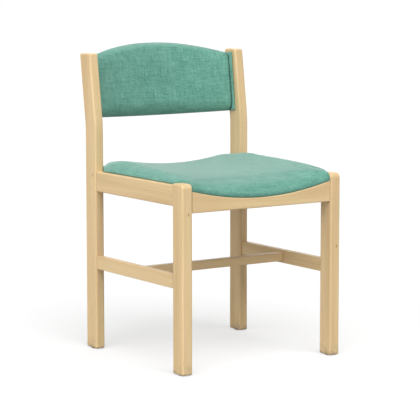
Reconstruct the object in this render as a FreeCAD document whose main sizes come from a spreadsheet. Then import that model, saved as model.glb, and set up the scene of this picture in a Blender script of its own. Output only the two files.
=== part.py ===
"""Upholstered beech side chair, in millimetres.

It faces -Y, with +Z up. The origin lies on the floor under the middle of the chair's box.
Right and left are the sitter's, so the right side is -X.
"""
import FreeCAD, Part
import math
import os
import re
import Sketcher
from FreeCAD import Placement, Rotation, Vector

SIZES = (
    ("overall_width", 484, "across the legs' and posts' outer faces"),
    ("front_face", -264.4, "place of the front legs' front faces"),
    ("leg_width", 30, "front leg, across the chair"),
    ("leg_depth", 46, "front leg, front to back"),
    ("leg_rise", 4.5, "front leg's top above the side rail's top"),
    ("leg_top_round", 12, "round over the front leg's top front edge"),
    ("rail_span", 364.5, "between the front leg and the rear post"),
    ("post_width", 26, "rear post, across the chair"),
    ("post_depth", 51, "rear post, front to back"),
    ("bend_start", 564.5, "height at which the rear post starts to bend back"),
    ("bend_radius", 300, "bend at the rear post's rear face"),
    ("post_rake", 8, "degrees that the upper post leans back"),
    ("post_top", 773.8, "height of the post's level top"),
    ("leg_round", 5, "rounded edges of legs and posts"),
    ("edge_round", 4, "rounded long edges of side rails"),
    ("fine_round", 2.5, "eased edges of the other rails and of the stretchers"),
    ("foot_round", 4.4, "rounded edge round the foot of a leg or post"),
    ("glide_height", 2, "foot glide below the wood"),
    ("glide_diameter", 22, "foot glide"),
    ("nail_diameter", 3, "foot glide's nail"),
    ("nail_length", 14, "foot glide's nail in the wood"),
    ("side_rail_top", 470.5, "height of the side rail's top"),
    ("side_rail_height", 53, "side rail"),
    ("side_rail_thickness", 20, "side rail"),
    ("side_rail_recess", 3, "side rail behind the legs' outer faces"),
    ("front_rail_drop", 13.5, "front rail's ends below the side rail's top"),
    ("front_rail_height", 54.5, "front rail at its ends"),
    ("front_rail_thickness", 22, "front rail"),
    ("front_rail_recess", 3, "front rail behind the legs' front faces"),
    ("rear_rail_height", 53, "rear rail's lower edge below the side rail's top"),
    ("rear_rail_thickness", 20, "rear rail"),
    ("rear_rail_recess", 24, "rear rail behind the posts' front faces"),
    ("dish_radius", 797, "curve across the seat, under the cushion"),
    ("stretcher_bottom", 214, "height of the side stretcher's lower edge"),
    ("stretcher_height", 35, "side stretcher"),
    ("stretcher_thickness", 18, "side stretcher"),
    ("stretcher_recess", 2.2, "side stretcher behind the legs' outer faces"),
    ("cross_height", 23, "cross stretcher"),
    ("cross_thickness", 20, "cross stretcher"),
    ("rail_dowel", 10, "diameter of a rail's dowels"),
    ("rail_dowel_length", 36, "dowel of a rail"),
    ("rail_dowel_pitch", 26, "between the two dowels of a rail's end"),
    ("stretcher_dowel", 8, "diameter of a side stretcher's dowels"),
    ("stretcher_dowel_length", 30, "dowel of a side stretcher"),
    ("stretcher_dowel_pitch", 16, "between the two dowels of a side stretcher's end"),
    ("cross_dowel", 6, "diameter of a cross stretcher's dowels"),
    ("cross_dowel_length", 22, "dowel of a cross stretcher"),
    ("cross_dowel_pitch", 11, "between the two dowels of a cross stretcher's end"),
    ("cleat_dowel", 6, "diameter of a back cleat's dowels"),
    ("cleat_dowel_length", 26, "dowel of a back cleat"),
    ("cleat_dowel_pitch", 80, "between the two dowels of a back cleat"),
    ("dowel_gap", 0.1, "glue round a dowel"),
    ("dowel_end_gap", 1, "room past each end of a dowel"),
    ("block_reach", 60, "corner block along each rail"),
    ("block_height", 28, "corner block"),
    ("block_drop", 22, "corner block's top below the side rail's top"),
    ("screw_diameter", 4.5, "wood screws"),
    ("screw_head", 8.5, "wood screws' heads"),
    ("screw_head_depth", 3, "countersunk head of a wood screw"),
    ("screw_seat", 18, "corner block under the head of a rail's screw"),
    ("screw_bite", 15, "a corner block's screw in the rail"),
    ("seat_screw_bite", 6, "a seat screw in the seat board"),
    ("rail_screw_inset", 26, "front and rear rails' screws, in from the legs' inner faces"),
    ("side_screw_inset", 26, "side rails' screws, in from the legs"),
    ("screw_stagger", 12, "height between the two screws of a corner block"),
    ("seat_screw_inset", 36, "seat screws, in from the legs' inner faces"),
    ("seat_screw_reach", 8, "seat screws, in from the front and rear rails"),
    ("fit_gap", 0.3, "room between a soft piece or a loose piece and its neighbour"),
    ("board_thickness", 9, "seat board"),
    ("board_inset", 12, "seat board inside the cushion's outline, wrapped by the foam"),
    ("seat_overhang", 14, "seat past the inner faces of the side rails"),
    ("seat_rear_inset", 42, "seat behind the posts' front faces"),
    ("corner_run", 25, "slant at the seat's rear corners, in front of the posts"),
    ("cushion_thickness", 38.4, "cushion in its middle, where its top is lowest"),
    ("crest_rise", 18.5, "cushion's sides above its middle"),
    ("crest_place", 190, "cushion's highest line, from the chair's middle"),
    ("side_bulge", 0.12, "share of its width that the cushion's side bulges"),
    ("front_fall", 20, "cushion's fall towards its front edge"),
    ("front_run", 62, "length over which most of that fall comes"),
    ("nose_fall", 16, "further fall over the rolled front edge"),
    ("nose_roll", 14, "length of the rolled front edge"),
    ("rear_fall", 14, "cushion's fall to its rear edge"),
    ("rear_roll", 30, "length over which the cushion falls to its rear edge"),
    ("cloth", 1.4, "upholstery cloth"),
    ("hem_width", 26, "cloth turned under the seat board"),
    ("dust_cloth", 0.8, "cloth under the seat board"),
    ("back_bottom", 22, "back's lower edge above the bend, along the post"),
    ("back_end_height", 159, "back at its ends, along the post"),
    ("back_arch", 38, "rise of the back's top edge in its middle"),
    ("back_rear_inset", 0.5, "back's rear at its ends, in front of the posts' rear faces"),
    ("back_depth", 26.5, "back's thickness at its ends"),
    ("back_crown", 6, "extra thickness of the back's front in its middle"),
    ("back_radius", 625, "curve of the back in plan"),
    ("back_edge_round", 14, "rounded lower and upper edges of the back's front"),
    ("panel_thickness", 9, "back panel"),
    ("rear_cover_thickness", 2, "back's rear cover with its wadding"),
    ("cleat_width", 20, "back cleat, along the panel"),
    ("cleat_height", 124, "back cleat, along the post"),
    ("strip_width", 7, "covered strip, out from the post"),
    ("strip_depth", 8, "covered strip, along the post's inner face"),
)
NAMES = {alias for alias, _, _ in SIZES}
SIDES = (("right", -1), ("left", 1))

doc = FreeCAD.newDocument("side_chair")
sheet = doc.addObject("Spreadsheet::Sheet", "sizes")
for row, (alias, start, note) in enumerate(SIZES, 1):
    sheet.set(f"A{row}", note)
    sheet.set(f"B{row}", str(start))
    sheet.setAlias(f"B{row}", alias)
doc.recompute()

# Places that several pieces share, as expressions of the named sizes
HALF = "(overall_width / 2)"
LEG_INNER = f"({HALF} - leg_width)"
LEG_REAR = "(front_face + leg_depth)"
LEG_TOP = "(side_rail_top + leg_rise)"
POST_INNER = f"({HALF} - post_width)"
POST_FRONT = "(front_face + leg_depth + rail_span)"
POST_REAR = f"({POST_FRONT} + post_depth)"
RAIL_MIDDLE = f"({HALF} - side_rail_recess - side_rail_thickness / 2)"
RAIL_INNER = f"({HALF} - side_rail_recess - side_rail_thickness)"
RAIL_AXIS = "(side_rail_top - side_rail_height / 2)"
RAIL_BOTTOM = "(side_rail_top - side_rail_height)"
FRONT_RAIL_FRONT = "(front_face + front_rail_recess)"
FRONT_RAIL_AXIS = "(front_face + front_rail_recess + front_rail_thickness / 2)"
FRONT_RAIL_REAR = "(front_face + front_rail_recess + front_rail_thickness)"
FRONT_RAIL_TOP = "(side_rail_top - front_rail_drop)"
FRONT_RAIL_BOTTOM = f"({FRONT_RAIL_TOP} - front_rail_height)"
FRONT_RAIL_LOW = f"({FRONT_RAIL_TOP} - dish_radius + sqrt(dish_radius ^ 2 - {LEG_INNER} ^ 2))"
FRONT_DOWEL_AXIS = f"({FRONT_RAIL_TOP} - front_rail_height / 2)"
REAR_RAIL_FRONT = f"({POST_FRONT} + rear_rail_recess)"
REAR_RAIL_BOTTOM = "(side_rail_top - rear_rail_height)"
REAR_RAIL_AXIS = f"({POST_FRONT} + rear_rail_recess + rear_rail_thickness / 2)"
STRETCHER_MIDDLE = f"({HALF} - stretcher_recess - stretcher_thickness / 2)"
STRETCHER_INNER = f"({HALF} - stretcher_recess - stretcher_thickness)"
STRETCHER_AXIS = "(stretcher_bottom + stretcher_height / 2)"
CROSS_AXIS = f"({LEG_REAR} + rail_span / 2)"
BLOCK_TOP = "(side_rail_top - block_drop)"
BLOCK_AXIS = "(side_rail_top - block_drop - block_height / 2)"
SEAT_HALF = f"({RAIL_INNER} + seat_overhang)"
SEAT_REAR = f"({POST_FRONT} + seat_rear_inset)"
# The cushion's underside, in the middle of its dish, behind and at the front lip
SEAT_BASE = f"(side_rail_top + fit_gap - dish_radius + sqrt(dish_radius ^ 2 - {RAIL_INNER} ^ 2))"
SEAT_LIP = f"({FRONT_RAIL_LOW} + fit_gap)"
CUSHION_MIDDLE = f"({SEAT_BASE} + cushion_thickness)"
CUSHION_CREST = f"({CUSHION_MIDDLE} + crest_rise)"
LIP_END = f"({LEG_REAR} + fit_gap)"
REAR_RAIL_TOP = f"({SEAT_BASE} - fit_gap + dish_radius - sqrt(dish_radius ^ 2 - {POST_INNER} ^ 2))"
# The point that the back leans about, where the post's two front faces would meet
PIVOT_HEIGHT = "(bend_start + (bend_radius + post_depth) * tan(post_rake / 2))"
BACK_HALF = f"({POST_INNER} - fit_gap)"
BACK_REAR = "(post_depth - back_rear_inset)"
BACK_CENTRE = f"({BACK_REAR} - sqrt(back_radius ^ 2 - {BACK_HALF} ^ 2))"
BACK_TOP = "(back_bottom + back_end_height)"
BACK_FRONT = f"({BACK_CENTRE} + sqrt((back_radius - back_depth) ^ 2 - {BACK_HALF} ^ 2))"
PANEL_DEPTH = "(rear_cover_thickness + panel_thickness + 2 * fit_gap)"
CLEAT_DEPTH_AT = f"({BACK_HALF} - cleat_width / 3)"
CLEAT_DEPTH = (f"({BACK_CENTRE} + sqrt((back_radius - back_depth + cloth + fit_gap) ^ 2 - {CLEAT_DEPTH_AT} ^ 2) / 2"
               f" + sqrt((back_radius - {PANEL_DEPTH}) ^ 2 - {CLEAT_DEPTH_AT} ^ 2) / 2)")
CLEAT_AXIS = "(back_bottom + back_end_height / 2)"
# Half widths of the seat board, wide over the side rails, narrow between the legs and between the posts
BOARD_WIDE = f"({SEAT_HALF} - board_inset)"
BOARD_LIP = f"({LEG_INNER} - board_inset)"
BOARD_TAIL = f"({POST_INNER} - leg_round / 2 - board_inset)"
BOARD_FRONT = f"({FRONT_RAIL_FRONT} + board_inset)"
BOARD_SHOULDER = f"({LIP_END} + board_inset)"
BOARD_REAR = f"({SEAT_REAR} - board_inset)"
# Screws of the corner blocks: places along the rails, heights, and depth in the rail
FRONT_SCREW = f"({LEG_INNER} - rail_screw_inset)"
REAR_SCREW = f"({POST_INNER} - rail_screw_inset)"
FRONT_SIDE_SCREW = f"({LEG_REAR} + side_screw_inset)"
REAR_SIDE_SCREW = f"({POST_FRONT} - side_screw_inset)"
RAIL_SCREW_HEIGHT = f"({BLOCK_AXIS} + screw_stagger / 2)"
SIDE_SCREW_HEIGHT = f"({BLOCK_AXIS} - screw_stagger / 2)"
PILOT = "screw_bite + dowel_end_gap"
SEAT_SCREWS = ((f"({LEG_INNER} - seat_screw_inset)", f"({FRONT_RAIL_REAR} + seat_screw_reach)"),
               (f"({POST_INNER} - seat_screw_inset)", f"({REAR_RAIL_FRONT} - seat_screw_reach)"))


def linked(expression):
    """The expression with every named size pointing at its cell in the sheet."""
    return re.sub(r"[a-z_]+", lambda word: "sizes." + word[0] if word[0] in NAMES else word[0], expression)


def number(expression):
    """Today's value of an expression over the named sizes."""
    return float(sheet.evalExpression(linked(expression)))


def bind(thing, **links):
    """Ties properties to expressions; a double underscore in a name stands for a dot."""
    for place, expression in links.items():
        thing.setExpression(place.replace("__", "."), linked(expression))


def body(label):
    piece = doc.addObject("PartDesign::Body", label)
    piece.Label = label
    return piece


def sketch_on(piece, role, offset):
    """A sketch on one of the body's own planes, moved along the plane's normal."""
    plane = next(feature for feature in piece.Origin.OriginFeatures if feature.Role == role)
    sketch = piece.newObject("Sketcher::SketchObject", "sketch")
    sketch.AttachmentSupport = [(plane, "")]
    sketch.MapMode = "FlatFace"
    bind(sketch, AttachmentOffset__Base__z=offset)
    return sketch


def across(piece, place):
    """A sketch that looks along X: its axes are Y and Z."""
    return sketch_on(piece, "YZ_Plane", place)


def facing(piece, place):
    """A sketch that looks along Y: its axes are X and Z, and its normal points to the front."""
    return sketch_on(piece, "XZ_Plane", f"-({place})")


def level(piece, place):
    """A sketch that looks down: its axes are X and Y."""
    return sketch_on(piece, "XY_Plane", place)


def hold(sketch, geometry, point, place):
    """Fixes a point of the sketch at two expressions."""
    for kind, expression in zip(("DistanceX", "DistanceY"), place):
        constraint = Sketcher.Constraint(kind, -1, 1, geometry, point, number(expression))
        index = sketch.addConstraint(constraint)
        bind(sketch, **{f"Constraints[{index}]": expression})


def arc_between(start, finish, radius, turn):
    """The short arc from start to finish; turn is 1 where its centre lies to the left."""
    chord = finish - start
    reach = math.sqrt(max(radius ** 2 - (chord.Length / 2) ** 2, 0))
    left = Vector(-chord.y, chord.x, 0).normalize()
    centre = (start + finish) * 0.5 + left * (reach * turn)
    first, last = (start, finish) if turn > 0 else (finish, start)
    angles = [math.atan2(point.y - centre.y, point.x - centre.x) for point in (first, last)]
    return Part.ArcOfCircle(Part.Circle(centre, Vector(0, 0, 1), radius), *angles)


def outline(sketch, corners, arcs=None):
    """A closed outline through corners; arcs gives (radius, turn) for the runs that are round."""
    arcs = arcs or {}
    points = [Vector(number(right), number(up), 0) for right, up in corners]
    runs = []
    for index, start in enumerate(points):
        finish = points[(index + 1) % len(points)]
        if index in arcs:
            radius, turn = arcs[index]
            geometry = sketch.addGeometry(arc_between(start, finish, number(radius), turn))
            runs.append((geometry, 1, 2) if turn > 0 else (geometry, 2, 1))
        else:
            runs.append((sketch.addGeometry(Part.LineSegment(start, finish)), 1, 2))
    for index, (geometry, first, last) in enumerate(runs):
        following = runs[(index + 1) % len(runs)]
        sketch.addConstraint(Sketcher.Constraint("Coincident", geometry, last, following[0], following[1]))
        hold(sketch, geometry, first, corners[index])
        if index in arcs:
            radius = arcs[index][0]
            added = sketch.addConstraint(Sketcher.Constraint("Radius", geometry, number(radius)))
            bind(sketch, **{f"Constraints[{added}]": radius})
    return sketch


def rectangle(sketch, low, high):
    return outline(sketch, (low, (high[0], low[1]), high, (low[0], high[1])))


def circles(sketch, centres, diameter):
    for centre in centres:
        middle = Vector(number(centre[0]), number(centre[1]), 0)
        geometry = sketch.addGeometry(Part.Circle(middle, Vector(0, 0, 1), number(diameter) / 2))
        hold(sketch, geometry, 3, centre)
        added = sketch.addConstraint(Sketcher.Constraint("Diameter", geometry, number(diameter)))
        bind(sketch, **{f"Constraints[{added}]": diameter})
    return sketch


def pad(piece, sketch, length, reverse=False):
    feature = piece.newObject("PartDesign::Pad", "pad")
    feature.Profile = sketch
    feature.Reversed = reverse
    bind(feature, Length=length)
    return feature


def pocket(piece, sketch, depth, reverse=False):
    """Cuts against the sketch's normal, or along it where reversed, and makes sure that it cut."""
    doc.recompute()
    before = piece.Shape.Volume
    feature = piece.newObject("PartDesign::Pocket", "pocket")
    feature.Profile = sketch
    feature.Reversed = reverse
    bind(feature, Length=depth)
    doc.recompute()
    if not piece.Shape.Volume < before:
        raise RuntimeError(f"a pocket of {piece.Label} cuts nothing")
    return feature


def ease(piece, kind, radius, chosen):
    """Rounds or chamfers the edges that the test chooses."""
    doc.recompute()
    base = piece.Tip
    names = [f"Edge{index}" for index, edge in enumerate(base.Shape.Edges, 1) if chosen(edge)]
    feature = piece.newObject(f"PartDesign::{kind}", kind.lower())
    feature.Base = (base, names)
    bind(feature, **{"Radius" if kind == "Fillet" else "Size": radius})
    doc.recompute()
    return feature


def near(first, second):
    return abs(first - second) < 1e-4


def runs_along(edge, axis):
    """Whether both ends of an edge differ only along one axis."""
    start, finish = edge.firstVertex().Point, edge.lastVertex().Point
    return all(near(start[other], finish[other]) for other in range(3) if other != axis)


def side_edges(shape_half, middle):
    """Chooses the edges of a board's two side faces, which lie a half width from its middle in X."""
    return lambda edge: near(abs(edge.BoundBox.Center.x - middle), shape_half) and edge.BoundBox.XLength < 1e-4


def pair(axis, pitch):
    """Two places, half a pitch above and below an axis."""
    return f"{axis} - {pitch} / 2", f"{axis} + {pitch} / 2"


def socket(name):
    """Diameter and depth of the hole for one of the named dowels."""
    return f"{name} + 2 * dowel_gap", f"{name}_length / 2 + dowel_end_gap"


def end_sockets(piece, name, centres_left, centres_right, sketcher, ends, reverse):
    """Dowel holes in both ends of a rail or stretcher."""
    diameter, depth = socket(name)
    for end, centres, turned in zip(ends, (centres_left, centres_right), reverse):
        pocket(piece, circles(sketcher(piece, end), centres, diameter), depth, turned)


def foot(piece, side, middle, place):
    """Rounds the foot of a leg or post and drills it for the glide's nail."""
    floor = number("glide_height")
    ease(piece, "Fillet", "foot_round", lambda edge: edge.BoundBox.ZMax < floor + 1e-4)
    hole = circles(level(piece, "glide_height"), [(f"{side} * {middle}", place)], "nail_diameter + 2 * dowel_gap")
    pocket(piece, hole, "nail_length + dowel_end_gap", True)


def front_leg(name, side):
    """A square leg, its top rolled over at the front."""
    leg = body(f"{name}_front_leg")
    profile = outline(
        across(leg, f"{side} * ({HALF} - leg_width / 2) - leg_width / 2"),
        (("front_face", "glide_height"), (LEG_REAR, "glide_height"), (LEG_REAR, LEG_TOP),
         ("front_face + leg_top_round", LEG_TOP), ("front_face", f"{LEG_TOP} - leg_top_round")),
        {3: ("leg_top_round", 1)})
    pad(leg, profile, "leg_width")
    floor, top, rear = number("glide_height"), number(LEG_TOP), number(LEG_REAR)
    on_side = side_edges(number("leg_width / 2"), side * number(f"{HALF} - leg_width / 2"))
    top_rear = lambda edge: near(edge.BoundBox.ZMin, top) and near(edge.BoundBox.YMin, rear)
    ease(leg, "Fillet", "leg_round",
         lambda edge: (on_side(edge) and edge.BoundBox.ZMax > floor + 1e-3) or top_rear(edge))
    foot(leg, side, f"({HALF} - leg_width / 2)", "front_face + leg_depth / 2")
    diameter, depth = socket("rail_dowel")
    side_holes = [(f"{side} * {RAIL_MIDDLE}", up) for up in pair(RAIL_AXIS, "rail_dowel_pitch")]
    pocket(leg, circles(facing(leg, LEG_REAR), side_holes, diameter), depth, True)
    front_holes = [(FRONT_RAIL_AXIS, up) for up in pair(FRONT_DOWEL_AXIS, "rail_dowel_pitch")]
    pocket(leg, circles(across(leg, f"{side} * {LEG_INNER}"), front_holes, diameter), depth, side > 0)
    diameter, depth = socket("stretcher_dowel")
    low_holes = [(f"{side} * {STRETCHER_MIDDLE}", up) for up in pair(STRETCHER_AXIS, "stretcher_dowel_pitch")]
    pocket(leg, circles(facing(leg, LEG_REAR), low_holes, diameter), depth, True)
    return leg


def rear_post(name, side):
    """A post that stands upright to the seat and leans back above it, cut level at its top."""
    post = body(f"{name}_rear_post")
    centre = f"({POST_REAR} + bend_radius)"
    outer = "(bend_radius + post_depth)"
    bend_front = (f"{centre} - {outer} * cos(post_rake)", f"bend_start + {outer} * sin(post_rake)")
    bend_rear = (f"{centre} - bend_radius * cos(post_rake)", "bend_start + bend_radius * sin(post_rake)")

    def at_top(place):
        return f"{place[0]} + (post_top - ({place[1]})) * tan(post_rake)", "post_top"

    profile = outline(
        across(post, f"{side} * ({HALF} - post_width / 2) - post_width / 2"),
        ((POST_FRONT, "glide_height"), (POST_REAR, "glide_height"), (POST_REAR, "bend_start"), bend_rear,
         at_top(bend_rear), at_top(bend_front), bend_front, (POST_FRONT, "bend_start")),
        {2: ("bend_radius", -1), 6: (outer, 1)})
    pad(post, profile, "post_width")
    floor, top = number("glide_height"), number("post_top")
    on_side = side_edges(number("post_width / 2"), side * number(f"{HALF} - post_width / 2"))
    ease(post, "Fillet", "leg_round",
         lambda edge: (on_side(edge) and edge.BoundBox.ZMax > floor + 1e-3) or near(edge.BoundBox.ZMin, top))
    foot(post, side, f"({HALF} - post_width / 2)", f"{POST_FRONT} + post_depth / 2")
    diameter, depth = socket("rail_dowel")
    side_holes = [(f"{side} * {RAIL_MIDDLE}", up) for up in pair(RAIL_AXIS, "rail_dowel_pitch")]
    pocket(post, circles(facing(post, POST_FRONT), side_holes, diameter), depth)
    rear_holes = [(REAR_RAIL_AXIS, up) for up in pair(RAIL_AXIS, "rail_dowel_pitch")]
    pocket(post, circles(across(post, f"{side} * {POST_INNER}"), rear_holes, diameter), depth, side > 0)
    diameter, depth = socket("stretcher_dowel")
    low_holes = [(f"{side} * {STRETCHER_MIDDLE}", up) for up in pair(STRETCHER_AXIS, "stretcher_dowel_pitch")]
    pocket(post, circles(facing(post, POST_FRONT), low_holes, diameter), depth)
    diameter, depth = socket("cleat_dowel")
    back_holes = [leaned(CLEAT_DEPTH, up) for up in pair(CLEAT_AXIS, "cleat_dowel_pitch")]
    pocket(post, circles(across(post, f"{side} * {POST_INNER}"), back_holes, diameter), depth, side > 0)
    return post


def leaned(depth, up):
    """Y and Z of a point given in the leaning back's own depth and height."""
    return (f"{POST_FRONT} + ({depth}) * cos(post_rake) + ({up}) * sin(post_rake)",
            f"{PIVOT_HEIGHT} - ({depth}) * sin(post_rake) + ({up}) * cos(post_rake)")


def dished_rail(label, half, front, thickness, bottom, top):
    """A rail between two legs, its top edge dipping to the seat's curve and eased."""
    rail = body(label)
    profile = outline(facing(rail, front), ((f"-{half}", bottom), (half, bottom), (half, top), (f"-{half}", top)),
                      {2: ("dish_radius", -1)})
    pad(rail, profile, thickness, True)
    ends = number(half)
    ease(rail, "Fillet", "fine_round",
         lambda edge: edge.BoundBox.XLength > ends and edge.BoundBox.YLength < 1e-4)
    return rail


def front_rail():
    rail = dished_rail("front_seat_rail", LEG_INNER, FRONT_RAIL_FRONT, "front_rail_thickness",
                       FRONT_RAIL_BOTTOM, FRONT_RAIL_TOP)
    holes = [(FRONT_RAIL_AXIS, up) for up in pair(FRONT_DOWEL_AXIS, "rail_dowel_pitch")]
    end_sockets(rail, "rail_dowel", holes, holes, across, (f"-{LEG_INNER}", LEG_INNER), (True, False))
    pilots = [(f"{side} * {FRONT_SCREW}", RAIL_SCREW_HEIGHT) for _, side in SIDES]
    pocket(rail, circles(facing(rail, FRONT_RAIL_REAR), pilots, "screw_diameter"), PILOT, True)
    return rail


def rear_rail():
    rail = dished_rail("rear_seat_rail", POST_INNER, REAR_RAIL_FRONT, "rear_rail_thickness",
                       REAR_RAIL_BOTTOM, REAR_RAIL_TOP)
    holes = [(REAR_RAIL_AXIS, up) for up in pair(RAIL_AXIS, "rail_dowel_pitch")]
    end_sockets(rail, "rail_dowel", holes, holes, across, (f"-{POST_INNER}", POST_INNER), (True, False))
    pilots = [(f"{side} * {REAR_SCREW}", RAIL_SCREW_HEIGHT) for _, side in SIDES]
    pocket(rail, circles(facing(rail, REAR_RAIL_FRONT), pilots, "screw_diameter"), PILOT)
    return rail


def long_board(label, front, rear, middle, thickness, bottom, height, radius):
    """A straight board from front to rear with its four long edges rounded."""
    board = body(label)
    pad(board, rectangle(facing(board, front), (f"{middle} - {thickness} / 2", bottom),
                         (f"{middle} + {thickness} / 2", f"{bottom} + {height}")), f"{rear} - {front}", True)
    ease(board, "Fillet", radius, lambda edge: runs_along(edge, 1))
    return board


def side_rail(name, side):
    middle = f"({side} * {RAIL_MIDDLE})"
    rail = long_board(f"{name}_side_rail", LEG_REAR, POST_FRONT, middle, "side_rail_thickness",
                      RAIL_BOTTOM, "side_rail_height", "edge_round")
    holes = [(middle, up) for up in pair(RAIL_AXIS, "rail_dowel_pitch")]
    end_sockets(rail, "rail_dowel", holes, holes, facing, (LEG_REAR, POST_FRONT), (False, True))
    pilots = [(place, SIDE_SCREW_HEIGHT) for place in (FRONT_SIDE_SCREW, REAR_SIDE_SCREW)]
    pocket(rail, circles(across(rail, f"{side} * {RAIL_INNER}"), pilots, "screw_diameter"), PILOT, side > 0)
    return rail


def side_stretcher(name, side):
    middle = f"({side} * {STRETCHER_MIDDLE})"
    stretcher = long_board(f"{name}_side_stretcher", LEG_REAR, POST_FRONT, middle, "stretcher_thickness",
                           "stretcher_bottom", "stretcher_height", "fine_round")
    holes = [(middle, up) for up in pair(STRETCHER_AXIS, "stretcher_dowel_pitch")]
    end_sockets(stretcher, "stretcher_dowel", holes, holes, facing, (LEG_REAR, POST_FRONT), (False, True))
    diameter, depth = socket("cross_dowel")
    cross_holes = [(CROSS_AXIS, up) for up in pair(STRETCHER_AXIS, "cross_dowel_pitch")]
    pocket(stretcher, circles(across(stretcher, f"{side} * {STRETCHER_INNER}"), cross_holes, diameter), depth, side > 0)
    return stretcher


def cross_stretcher():
    cross = body("cross_stretcher")
    low = (f"{CROSS_AXIS} - cross_thickness / 2", f"{STRETCHER_AXIS} - cross_height / 2")
    high = (f"{CROSS_AXIS} + cross_thickness / 2", f"{STRETCHER_AXIS} + cross_height / 2")
    pad(cross, rectangle(across(cross, f"-{STRETCHER_INNER}"), low, high), f"2 * {STRETCHER_INNER}")
    ease(cross, "Fillet", "fine_round", lambda edge: runs_along(edge, 0))
    holes = [(CROSS_AXIS, up) for up in pair(STRETCHER_AXIS, "cross_dowel_pitch")]
    end_sockets(cross, "cross_dowel", holes, holes, across, (f"-{STRETCHER_INNER}", STRETCHER_INNER), (True, False))
    return cross


def corner_block(name, side, end):
    """A glued block inside the seat frame, notched round the leg or post and screwed to both rails."""
    block = body(f"{name}_{end}_block")
    if end == "front":
        inner, rail_face, leg_face, inward = LEG_INNER, FRONT_RAIL_REAR, LEG_REAR, 1
        rail_place, side_place, seat_place = FRONT_SCREW, FRONT_SIDE_SCREW, SEAT_SCREWS[0]
    else:
        inner, rail_face, leg_face, inward = POST_INNER, REAR_RAIL_FRONT, POST_FRONT, -1
        rail_place, side_place, seat_place = REAR_SCREW, REAR_SIDE_SCREW, SEAT_SCREWS[1]
    clear = f"{leg_face} + {inward} * fit_gap"
    plan = ((f"{inner} - block_reach", rail_face), (f"{inner} - fit_gap", rail_face),
            (f"{inner} - fit_gap", clear), (RAIL_INNER, clear),
            (RAIL_INNER, f"{leg_face} + {inward} * block_reach"))
    plan = [(f"{side} * ({place})", depth) for place, depth in plan]
    pad(block, outline(level(block, f"{BLOCK_TOP} - block_height"), plan), "block_height")
    shank, head = "screw_diameter + 2 * dowel_gap", "screw_head + 2 * fit_gap"
    rail_hole = [(f"{side} * {rail_place}", RAIL_SCREW_HEIGHT)]
    rail_seat = f"{rail_face} + {inward} * screw_seat"
    pocket(block, circles(facing(block, rail_face), rail_hole, shank), "block_reach", inward < 0)
    pocket(block, circles(facing(block, rail_seat), rail_hole, head), "block_reach", inward < 0)
    side_hole = [(side_place, SIDE_SCREW_HEIGHT)]
    side_seat = f"{side} * ({RAIL_INNER} - screw_seat)"
    pocket(block, circles(across(block, f"{side} * {RAIL_INNER}"), side_hole, shank), "block_reach", side < 0)
    pocket(block, circles(across(block, side_seat), side_hole, head), "block_reach", side < 0)
    seat_hole = [(f"{side} * {seat_place[0]}", seat_place[1])]
    pocket(block, circles(level(block, f"{BLOCK_TOP} - block_height"), seat_hole, shank), "block_height", True)
    pocket(block, circles(level(block, f"{BLOCK_TOP} - block_height"), seat_hole, head), "screw_head_depth", True)
    return block


def dowels(label, name, places, turn):
    """A set of dowels; each place is the dowel's middle, and turn lays it along X or Y."""
    rods = []
    for place in places:
        rod = doc.addObject("Part::Cylinder", f"{label}_rod")
        rod.Placement = Placement(Vector(), turn)
        bind(rod, Radius=f"{name} / 2", Height=f"{name}_length")
        back_up = turn.multVec(Vector(0, 0, -1))
        for axis, middle, step in zip("xyz", place, back_up):
            bind(rod, **{f"Placement__Base__{axis}": f"{middle} + ({round(step)}) * {name}_length / 2"})
        rods.append(rod)
    group = doc.addObject("Part::Compound", label)
    group.Label = label
    group.Links = rods
    return group


def all_dowels():
    """The dowels of every joint, in one set for each kind of rail or stretcher."""
    along_x = Rotation(Vector(0, 1, 0), 90)
    along_y = Rotation(Vector(1, 0, 0), -90)
    rail_heights = pair(RAIL_AXIS, "rail_dowel_pitch")
    front_heights = pair(FRONT_DOWEL_AXIS, "rail_dowel_pitch")
    low_heights = pair(STRETCHER_AXIS, "stretcher_dowel_pitch")
    cross_heights = pair(STRETCHER_AXIS, "cross_dowel_pitch")
    cleat_places = [leaned(CLEAT_DEPTH, up) for up in pair(CLEAT_AXIS, "cleat_dowel_pitch")]
    signs = [side for _, side in SIDES]
    ends = (LEG_REAR, POST_FRONT)
    return [
        dowels("front_rail_dowels", "rail_dowel",
               [(f"{side} * {LEG_INNER}", FRONT_RAIL_AXIS, up) for side in signs for up in front_heights], along_x),
        dowels("rear_rail_dowels", "rail_dowel",
               [(f"{side} * {POST_INNER}", REAR_RAIL_AXIS, up) for side in signs for up in rail_heights], along_x),
        dowels("side_rail_dowels", "rail_dowel",
               [(f"{side} * {RAIL_MIDDLE}", end, up) for side in signs for end in ends for up in rail_heights],
               along_y),
        dowels("side_stretcher_dowels", "stretcher_dowel",
               [(f"{side} * {STRETCHER_MIDDLE}", end, up) for side in signs for end in ends for up in low_heights],
               along_y),
        dowels("cross_stretcher_dowels", "cross_dowel",
               [(f"{side} * {STRETCHER_INNER}", CROSS_AXIS, up) for side in signs for up in cross_heights], along_x),
        dowels("back_cleat_dowels", "cleat_dowel",
               [(f"{side} * {POST_INNER}", *place) for side in signs for place in cleat_places], along_x),
    ]


def solid_piece(label, shape, placement=None):
    """A piece whose shape is worked out in code from the named sizes."""
    piece = doc.addObject("Part::Feature", label)
    piece.Label = label
    piece.Shape = shape
    if placement is not None:
        piece.Placement = placement
    return piece


def screw(point, direction, length):
    """A countersunk screw whose head's rim is at point and whose tip lies along direction."""
    shank, head = number("screw_diameter") / 2, number("screw_head") / 2
    depth = number("screw_head_depth")
    cone = Part.makeCone(head, shank, depth, point, direction)
    rod = Part.makeCylinder(shank, length - depth, point + direction * depth, direction)
    return cone.fuse(rod).removeSplitter()


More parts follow.
